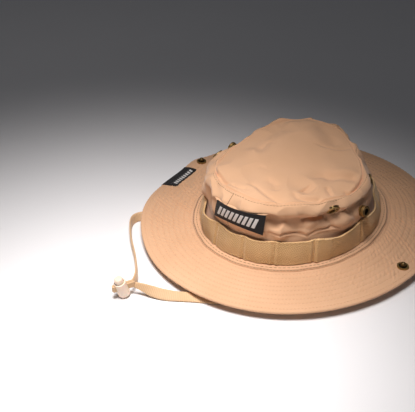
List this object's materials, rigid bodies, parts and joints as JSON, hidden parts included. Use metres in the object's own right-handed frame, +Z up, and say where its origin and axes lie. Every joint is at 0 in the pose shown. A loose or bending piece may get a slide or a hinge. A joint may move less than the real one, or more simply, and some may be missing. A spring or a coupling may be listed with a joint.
{
  "type": "boonie hat",
  "caption": "Soft wide-brim boonie hat with an oval crown, stitched flat brim with snap-up sides, webbing band, vent eyelets and a chin cord with a spring cord lock.",
  "frame": {"origin": "under the middle of the hat, on the surface that the sweatband's lower edge rests on", "axes": "+Z up through the crown; the front of the hat faces -Y; the wearer's left side is +X"},
  "size_m": [0.282, 0.3615, 0.0845],
  "materials": {
    "hat_cloth": "matt cotton ripstop, washed",
    "webbing": "ribbed webbing",
    "stiffener": "non-woven interlining",
    "sweatband_cloth": "matt cotton twill",
    "label_black": "damask weave",
    "label_white": "satin weave",
    "thread": "polyester thread",
    "antique_brass": "antiqued, satin",
    "vent_brass": "satin",
    "gauze": "woven wire",
    "cord_braid": "flat braid",
    "lock_plastic": "moulded, satin",
    "spring_steel": "drawn wire"
  },
  "bodies": {
    "root": {"crown_side_left": "hat_cloth", "crown_side_right": "hat_cloth", "crown_tip": "hat_cloth", "crown_seam_tape": "hat_cloth", "sweatband": "sweatband_cloth", "brim_seam_binding": "sweatband_cloth", "front_label": "label_black", "inside_label": "label_white", "vent_eyelets": "vent_brass", "vent_washers": "vent_brass", "vent_screens": "gauze", "brim_under_cloth": "hat_cloth", "brim_stiffener": "stiffener", "brim_top_cloth": "hat_cloth", "brim_hem": "hat_cloth", "base_strip": "hat_cloth", "crown_snap_left": "antique_brass", "crown_snap_right": "antique_brass", "crown_snap_cap_left": "antique_brass", "crown_snap_cap_right": "antique_brass", "foliage_band": "webbing", "band_tacks": "thread", "cord_anchor_left": "sweatband_cloth", "cord_anchor_right": "sweatband_cloth", "chin_cord_left": "cord_braid", "chin_cord_right": "cord_braid", "chin_cord_fold": "cord_braid"},
    "brim_flap_left": {"brim_under_cloth_left": "hat_cloth", "brim_stiffener_left": "stiffener", "brim_top_cloth_left": "hat_cloth", "brim_hem_left": "hat_cloth", "brim_snap_left": "antique_brass"},
    "brim_flap_right": {"brim_under_cloth_right": "hat_cloth", "brim_stiffener_right": "stiffener", "brim_top_cloth_right": "hat_cloth", "brim_hem_right": "hat_cloth", "brim_snap_right": "antique_brass", "brim_label": "label_black"},
    "cord_lock": {"lock_body": "lock_plastic", "lock_spring": "spring_steel"},
    "lock_button": {"lock_button": "lock_plastic"}
  },
  "joints": [
    {"name": "snap_up_left", "type": "hinge", "parent": "root", "child": "brim_flap_left", "pos_m": [0.091, 0, 0.0104], "axis": [0, -1, 0], "range_deg": [0, 94]},
    {"name": "snap_up_right", "type": "hinge", "parent": "root", "child": "brim_flap_right", "pos_m": [-0.091, 0, 0.0104], "axis": [0, 1, 0], "range_deg": [0, 94]},
    {"name": "cord_lock_slide", "type": "slide", "parent": "root", "child": "cord_lock", "axis": [0.342, 0.9397, 0], "range_m": [0, 0.0045]},
    {"name": "button_press", "type": "slide", "parent": "cord_lock", "child": "lock_button", "axis": [0.0827, 0.2273, -0.9703], "range_m": [0, 0.0022], "stiffness_N_per_m": 400, "springref_m": -0.003, "deforming": ["lock_spring"]}
  ]
}
